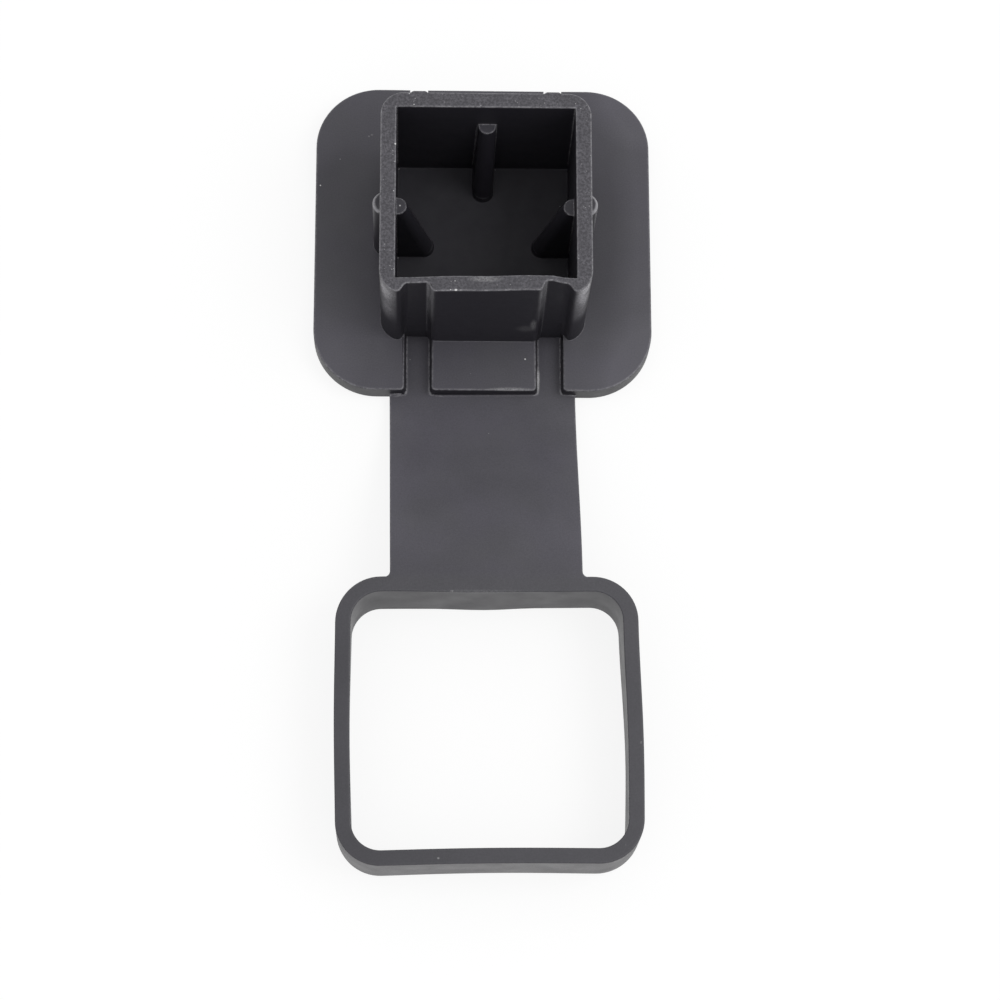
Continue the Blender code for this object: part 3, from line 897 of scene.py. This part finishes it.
class Shading:
    """Short ways to add nodes to one material and to wire them."""

    def __init__(self, name):
        self.material = bpy.data.materials.new(name)
        self.material.use_nodes = True
        self.nodes = self.material.node_tree.nodes
        self.links = self.material.node_tree.links
        self.coordinates = self.nodes.new("ShaderNodeTexCoord").outputs
        self.place = self.coordinates["Object"]

    def feed(self, socket, value):
        if isinstance(value, bpy.types.NodeSocket):
            self.links.new(value, socket)
        else:
            socket.default_value = value

    def split(self, vector):
        node = self.nodes.new("ShaderNodeSeparateXYZ")
        self.links.new(vector, node.inputs[0])
        return node.outputs

    def noise(self, scale, detail, roughness):
        node = self.nodes.new("ShaderNodeTexNoise")
        self.links.new(self.place, node.inputs["Vector"])
        node.inputs["Scale"].default_value = scale
        node.inputs["Detail"].default_value = detail
        node.inputs["Roughness"].default_value = roughness
        return node.outputs["Fac"]

    def ranged(self, value, low, high, to_low=0.0, to_high=1.0):
        node = self.nodes.new("ShaderNodeMapRange")
        self.feed(node.inputs["Value"], value)
        node.inputs["From Min"].default_value = low
        node.inputs["From Max"].default_value = high
        node.inputs["To Min"].default_value = to_low
        node.inputs["To Max"].default_value = to_high
        return node.outputs["Result"]

    def left(self, mask, share):
        """One where the mask is nothing, the given share where it is full."""
        return self.ranged(mask, 0, 1, 1.0, share)

    def maths(self, operation, first, second=0.0, clamp=True):
        node = self.nodes.new("ShaderNodeMath")
        node.operation = operation
        node.use_clamp = clamp
        self.feed(node.inputs[0], first)
        self.feed(node.inputs[1], second)
        return node.outputs[0]

    def product(self, first, *others):
        """The product, held between nothing and one at each step."""
        for other in others:
            first = self.maths("MULTIPLY", first, other)
        return first

    def most(self, first, second):
        return self.maths("MAXIMUM", first, second)

    def rest(self, share):
        """What a share leaves of the whole."""
        return self.maths("SUBTRACT", 1.0, share)

    def distance(self, value, centre=0.0):
        return self.maths("ABSOLUTE", self.maths("SUBTRACT", value, centre, clamp=False))

    def tint(self, amount, colour, other):
        """The first colour where the amount is nothing, the other where it is one."""
        node = self.nodes.new("ShaderNodeMix")
        node.data_type = "RGBA"
        first, second = [socket for socket in node.inputs if socket.type == "RGBA"]
        self.feed(node.inputs["Factor"], amount)
        self.feed(first, colour)
        self.feed(second, other)
        return node.outputs[2]

    def edges(self, radius):
        """Nothing on open faces, rising to one along edges and in tight corners."""
        soft = self.nodes.new("ShaderNodeBevel")
        soft.samples = EDGE_SAMPLES
        soft.inputs["Radius"].default_value = radius
        shape = self.nodes.new("ShaderNodeNewGeometry")
        compare = self.nodes.new("ShaderNodeVectorMath")
        compare.operation = "DOT_PRODUCT"
        self.links.new(soft.outputs["Normal"], compare.inputs[0])
        self.links.new(shape.outputs["Normal"], compare.inputs[1])
        return self.ranged(compare.outputs["Value"], *EDGE_TURN)

    def spot(self, place, sizes, strength=1.0):
        """A round or stretched spot, soft at its edge: place and half sizes in mm."""
        shift = self.nodes.new("ShaderNodeVectorMath")
        shift.operation = "MULTIPLY_ADD"
        self.links.new(self.place, shift.inputs[0])
        shift.inputs[1].default_value = [1 / (size * MM) for size in sizes]
        shift.inputs[2].default_value = [-at / size for at, size in zip(place, sizes)]
        length = self.nodes.new("ShaderNodeVectorMath")
        length.operation = "LENGTH"
        self.links.new(shift.outputs[0], length.inputs[0])
        return self.ranged(length.outputs["Value"], 1.0, SPOT_CORE, 0.0, strength)

    def specks(self, scale, size, share):
        """Small round spots, in the given share of the cells."""
        cells = self.nodes.new("ShaderNodeTexVoronoi")
        self.links.new(self.place, cells.inputs["Vector"])
        cells.inputs["Scale"].default_value = scale
        spot = self.ranged(cells.outputs["Distance"], size, size / 2)
        picker = self.nodes.new("ShaderNodeSeparateColor")
        self.links.new(cells.outputs["Color"], picker.inputs[0])
        chosen = self.maths("LESS_THAN", picker.outputs[0], share)
        return self.product(spot, chosen)

    def bump(self, noise, strength, distance, normal=None):
        node = self.nodes.new("ShaderNodeBump")
        node.inputs["Strength"].default_value = strength
        node.inputs["Distance"].default_value = distance
        self.links.new(self.noise(*noise), node.inputs["Height"])
        if normal is not None:
            self.links.new(normal, node.inputs["Normal"])
        return node.outputs[0]


class RubberSkin(Shading):
    """Charcoal rubber with a satin skin: measures that its steps share, and one method for each step."""

    def __init__(self):
        super().__init__("charcoal_rubber")
        self.x, self.y, self.z = self.split(self.place)
        self.facing_x, self.facing_y, self.facing_z = self.split(self.coordinates["Normal"])
        self.across = self.distance(self.x)
        self.along = self.distance(self.y, PLUG_CENTRE_Y)
        self.from_middle = self.most(self.across, self.along)
        self.grit = self.noise(*GRIT)
        self.blotches = self.noise(*BLOTCHES)
        self.rim_area = self.ranged(self.z, *RIM_AREA)
        self.strap_area = self.product(self.ranged(self.y, *STRAP_START), self.ranged(self.y, *STRAP_END))
        self.loop_area = self.ranged(self.y, *LOOP_AREA)
        self.sunk = self.product(self.ranged(self.from_middle, *HOLLOW_SIDES),
                                 self.ranged(self.z, *HOLLOW_BOTTOM), self.ranged(self.z, *ABOVE_FRONT))

    def painted_light_level(self):
        """How strong the pale film is on open faces, by place: painted light and shade, lighter to the right,
        on the strap and in some patches, darker towards the loop, in the channels and beside the plug.
        """
        level = self.ranged(self.x, *PAINTED_LIGHT_ACROSS)
        level = self.maths("ADD", level, self.product(self.strap_area, STRAP_GAIN))
        sides = self.product(self.strap_area, self.ranged(self.across, *STRAP_SIDE_GAIN))
        level = self.maths("ADD", level, sides)
        level = self.maths("SUBTRACT", level, self.ranged(self.y, *STRAP_END_LOSS))
        level = self.maths("SUBTRACT", level, self.ranged(self.y, *LOOP_LOSS))
        channels = self.product(self.ranged(self.z, *CHANNEL_FLOOR), self.ranged(self.y, *CHANNEL_END))
        level = self.maths("SUBTRACT", level, self.product(channels, CHANNEL_LOSS))
        for at, sizes, change in PAINTED_LIGHT_PATCHES:
            level = self.maths("ADD", level, self.spot(at, sizes, change), clamp=False)
        return level

    def top_band(self, top):
        """One close to a level top, nothing away from it."""
        return self.product(self.ranged(self.z, top - TOP_BAND_OUTSIDE, top - TOP_BAND_INSIDE),
                            self.ranged(self.z, top + TOP_BAND_OUTSIDE, top + TOP_BAND_INSIDE))

    def film_and_painted_light(self):
        """The pale film, partly dust and partly painted light: most on what faces up, little inside the
        hollow, where that is painted shade, uneven all over.
        """
        film_and_painted_light = self.most(self.ranged(self.facing_z, *FILM_AND_LIGHT_UPWARD),
                         self.product(self.loop_area, self.ranged(self.facing_z, *FILM_LOOP_SIDES)))
        inside = self.product(self.ranged(self.from_middle, *FILM_HOLLOW_SIDES),
                              self.ranged(self.z, *FILM_HOLLOW_WALLS))
        film_and_painted_light = self.most(film_and_painted_light, inside)
        film_and_painted_light = self.most(film_and_painted_light, self.ranged(self.facing_z, *FILM_DOWNWARD))
        # Painted shade inside the hollow, a little lighter towards its upper wall
        hollow_light = self.maths("MULTIPLY", self.ranged(self.y, *HOLLOW_PAINTED_LIGHT),
                             self.ranged(self.blotches, *HOLLOW_LIGHT_BLOTCHES), clamp=False)
        unshaded_share = self.rest(self.product(self.sunk, self.rest(hollow_light)))
        clouds = self.ranged(self.noise(*FILM_CLOUDS), *FILM_CLOUDED)
        film_and_painted_light = self.product(film_and_painted_light, unshaded_share, self.painted_light_level(), clouds)
        film_and_painted_light = self.maths("MULTIPLY", film_and_painted_light, self.ranged(self.grit, *FILM_GRIT), clamp=False)
        tops = self.maths("ADD", self.top_band(RIB_HEIGHT), self.top_band(GUSSET_HEIGHT))
        return self.product(film_and_painted_light, self.left(tops, FILM_ON_TOPS))

    def greyness(self):
        """Where the rubber under its film of dust and painted light looks grey, not bluish."""
        clouds = self.ranged(self.noise(*GREY_CLOUDS), *GREYED)
        return self.most(clouds, self.product(self.loop_area, GREYED_LOOP))

    def low_face_dust_and_reflection(self):
        """Gritty dust and a painted reflection of the white table on the loop's low outer face."""
        dust = self.product(self.ranged(self.y, *LOW_FACE_PLACE), self.ranged(self.facing_y, *LOW_FACE_TURN),
                            self.ranged(self.facing_z, *LOW_FACE_STEEP))
        return self.maths("MULTIPLY", dust, self.ranged(self.grit, *LOW_FACE_GRIT), clamp=False)

    def post_and_flank_highlights(self):
        """Painted highlights on the corner posts and groove flanks, broken up by blotches and grit, more
        towards the rim.
        """
        from_groove = self.distance(self.x, CHANNEL_SHIFT)
        from_flank = self.distance(from_groove, FLANK_PLACE)
        flanks = self.product(self.ranged(from_flank, *FLANK_HIGHLIGHT), self.ranged(self.y, *FLANK_WALL))
        corner = self.maths("MINIMUM", self.across, self.along)
        posts = self.ranged(corner, *POST_HIGHLIGHT)
        return self.product(self.most(posts, flanks), self.ranged(self.z, *HIGHLIGHT_HEIGHT),
                            self.ranged(self.from_middle, *HIGHLIGHT_LIMIT),
                            self.ranged(self.blotches, *HIGHLIGHT_BLOTCHES),
                            self.ranged(self.grit, *HIGHLIGHT_GRIT))

    def rib_highlights(self):
        """Painted highlights on the ribs' outer sides and round their crowns."""
        sides = self.product(self.ranged(self.across, *RIB_SIDE), self.ranged(self.z, *RIB_RISE))
        crown = self.product(self.ranged(self.z, *CROWN_RISE), self.ranged(self.facing_z, *CROWN_TURN),
                             self.ranged(self.across, *CROWN_SIDE))
        return self.product(self.most(sides, crown), self.ranged(self.along, *RIB_PLACE))

    def rim_colour(self):
        mottle = self.product(self.ranged(self.noise(*RIM_CLOUDS), *RIM_CLOUDED),
                              self.ranged(self.noise(*RIM_GRAIN), *RIM_GRAINED),
                              self.ranged(self.y, *RIM_LOW_SIDE))
        return self.tint(mottle, RIM_DARK, RIM_LIGHT)

    def edge_highlights(self):
        """Painted highlights where the skin turns at the tops of rim, ribs and pads, and at the pads' feet.
        """
        turning = self.product(self.ranged(self.facing_z, *LINE_TURN),
                               self.ranged(self.facing_z, *LINE_STEEP),
                               self.ranged(self.y, *LINE_ON_PLATE))
        sideways = self.ranged(self.distance(self.facing_x), *PAD_FOOT_SIDEWAYS)
        lines = 0.0
        for top, size, strength in (*EDGE_HIGHLIGHTS, (PAD_FOOT_TOP, PAD_FOOT_FILLET, sideways)):
            above = [top + gap for gap in LINE_TOP]
            band = self.product(self.ranged(self.z, top - size, top - LINE_FADE * size),
                                self.ranged(self.z, *above), strength, turning)
            lines = self.most(lines, band)
        return lines

    def worn_and_highlit_edges(self):
        """Edges worn pale and given painted highlights, less on the rim, the loop and the plug's upper and
        lower walls.

        The plug's foot gets neither.
        """
        plug_foot = self.product(self.ranged(self.z, *PLUG_FOOT_RISE),
                                 self.ranged(self.from_middle, *PLUG_FOOT_SIDE))
        upper_wall = self.product(self.ranged(self.y, *UPPER_WALL), self.ranged(self.z, *BELOW_RIM))
        lower_wall = self.product(self.ranged(self.y, *LOWER_WALL), self.ranged(self.z, *BELOW_RIM),
                                  self.ranged(self.z, *ABOVE_PLATE))
        return self.product(self.edges(EDGE_WIDTH), self.rest(plug_foot),
                            self.rest(self.product(self.loop_area, LOOP_WEAR_AND_HIGHLIGHT_LOSS)),
                            self.left(self.rim_area, RIM_WEAR_AND_HIGHLIGHT), self.left(upper_wall, UPPER_WALL_WEAR_AND_HIGHLIGHT),
                            self.left(lower_wall, LOWER_WALL_WEAR_AND_HIGHLIGHT))

    # Faint smears, and painted highlights among them
    def smears_and_highlights(self):
        smears_and_highlights = 0.0
        for at, sizes, strength in SMEARS_AND_HIGHLIGHTS:
            smears_and_highlights = self.most(smears_and_highlights, self.spot(at, sizes, strength))
        return self.product(smears_and_highlights, self.ranged(self.grit, *SMEAR_GRIT))

    def dust(self):
        """Stray specks all over, fine ones on the rim, and the crumbs."""
        on_rim = self.product(self.rim_area, self.ranged(self.blotches, *RIM_SPECK_BLOTCHES),
                              self.specks(*RIM_SPECKS))
        dust = self.most(self.product(self.specks(*STRAY_SPECKS), STRAY_SPECK_STRENGTH), on_rim)
        for x, y, z, radius in CRUMBS:
            dust = self.most(dust, self.spot((x, y, z), (radius, radius, radius)))
        return dust

    def finish(self):
        """Lays the steps over one another and wires them to the shader."""
        shader = self.nodes["Principled BSDF"]
        # The pale film: dust, painted light on faces turned up and painted shade in the hollow
        dusty_and_lit = self.tint(self.greyness(), RUBBER_DUSTY_AND_LIT, RUBBER_GREY)
        colour = self.tint(self.film_and_painted_light(), RUBBER_CLEAN, dusty_and_lit)
        # Dust and a painted reflection of the white table on the loop's low outer face
        colour = self.tint(self.low_face_dust_and_reflection(), colour, LOW_FACE_DUST_AND_REFLECTION)
        # Painted highlights on the corner posts, groove flanks and ribs
        colour = self.tint(self.most(self.post_and_flank_highlights(), self.rib_highlights()), colour, POST_AND_RIB_HIGHLIGHT)
        colour = self.tint(self.rim_area, colour, self.rim_colour())
        # Edges worn pale and painted highlights along edges, broken along their length
        broken = self.ranged(self.noise(*EDGE_BREAKS), *EDGES_BROKEN)
        rubbed_and_highlit = self.product(self.most(self.worn_and_highlit_edges(), self.edge_highlights()), broken)
        colour = self.tint(rubbed_and_highlit, colour, RUBBED_AND_HIGHLIT_EDGE)
        # Smears, and painted highlights on a channel wall, the middle pad's lower edge and the loop's upper
        # bar
        colour = self.tint(self.smears_and_highlights(), colour, DUST_AND_HIGHLIGHT)
        dust = self.dust()
        colour = self.tint(dust, colour, DUST_AND_HIGHLIGHT)
        self.links.new(colour, shader.inputs["Base Color"])

        rough = self.ranged(self.noise(*ROUGHNESS_CLOUDS), *ROUGHNESS_RANGE)
        rough = self.maths("ADD", rough, self.product(self.maths("ADD", self.sunk, dust), DUSTY_ROUGHNESS))
        self.links.new(rough, shader.inputs["Roughness"])
        shader.inputs["Specular IOR Level"].default_value = SPECULAR

        grain = self.bump(GRAIN, *GRAIN_BUMP)
        waves = self.bump(WAVES, *WAVE_BUMP, grain)
        self.links.new(waves, shader.inputs["Normal"])
        return self.material


def white_table():
    """White to the camera and in reflections, with a faint shadow kept; plain white to other light."""
    cloth = Shading("white_table")
    nodes, links = cloth.nodes, cloth.links
    path = nodes.new("ShaderNodeLightPath")
    seen = cloth.most(path.outputs["Is Camera Ray"], path.outputs["Is Glossy Ray"])
    seen = cloth.most(seen, path.outputs["Is Transmission Ray"])
    nodes.remove(nodes["Principled BSDF"])
    plain = nodes.new("ShaderNodeBsdfDiffuse")
    plain.inputs["Color"].default_value = TABLE_WHITE
    glow = nodes.new("ShaderNodeEmission")
    glow.inputs["Strength"].default_value = TABLE_GLOW
    faint = nodes.new("ShaderNodeMixShader")
    faint.inputs["Fac"].default_value = TABLE_GLOW_SHARE
    links.new(plain.outputs[0], faint.inputs[1])
    links.new(glow.outputs[0], faint.inputs[2])
    mix = nodes.new("ShaderNodeMixShader")
    links.new(seen, mix.inputs["Fac"])
    links.new(plain.outputs[0], mix.inputs[1])
    links.new(faint.outputs[0], mix.inputs[2])
    links.new(mix.outputs[0], nodes["Material Output"].inputs["Surface"])
    return cloth.material


def table(white):
    """The table, a hair above the cover's underside, so that the two never flicker from below."""
    bpy.ops.mesh.primitive_plane_add(size=TABLE_SIZE, location=(0, 0, TABLE_LIFT))
    floor = bpy.context.object
    floor.name = "table"
    floor.data.materials.append(white)


def light_the_scene():
    world = bpy.data.worlds.new("soft_white")
    world.use_nodes = True
    background = world.node_tree.nodes["Background"]
    background.inputs["Color"].default_value = WORLD_WHITE
    background.inputs["Strength"].default_value = WORLD_LEVEL
    bpy.context.scene.world = world
    bpy.context.scene.view_settings.view_transform = "Standard"
    data = bpy.data.lights.new("overhead", "AREA")
    data.shape = "DISK"
    data.size = LAMP_SIZE
    data.energy = LAMP_POWER
    lamp = bpy.data.objects.new("overhead", data)
    bpy.context.scene.collection.objects.link(lamp)
    lamp.location = LAMP_PLACE
    lamp.rotation_euler = (Vector(LAMP_PLACE) - Vector(LAMP_TARGET)).to_track_quat("Z", "Y").to_euler()


def camera():
    data = bpy.data.cameras.new("camera")
    data.sensor_width = CAMERA_SENSOR
    data.lens = CAMERA_LENS
    data.clip_start = CAMERA_NEAREST
    item = bpy.data.objects.new("camera", data)
    bpy.context.scene.collection.objects.link(item)
    turn = Matrix((CAMERA_RIGHT, CAMERA_UP, CAMERA_BACK)).transposed().to_4x4()
    item.matrix_world = Matrix.Translation(Vector(CAMERA_PLACE) * MM) @ turn
    bpy.context.scene.camera = item


def main():
    bpy.ops.object.select_all(action="DESELECT")
    cover = model_cover()
    cover.data.materials.append(RubberSkin().finish())
    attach(cover, "root")
    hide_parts("receiver_cover")
    table(white_table())
    light_the_scene()
    camera()


main()
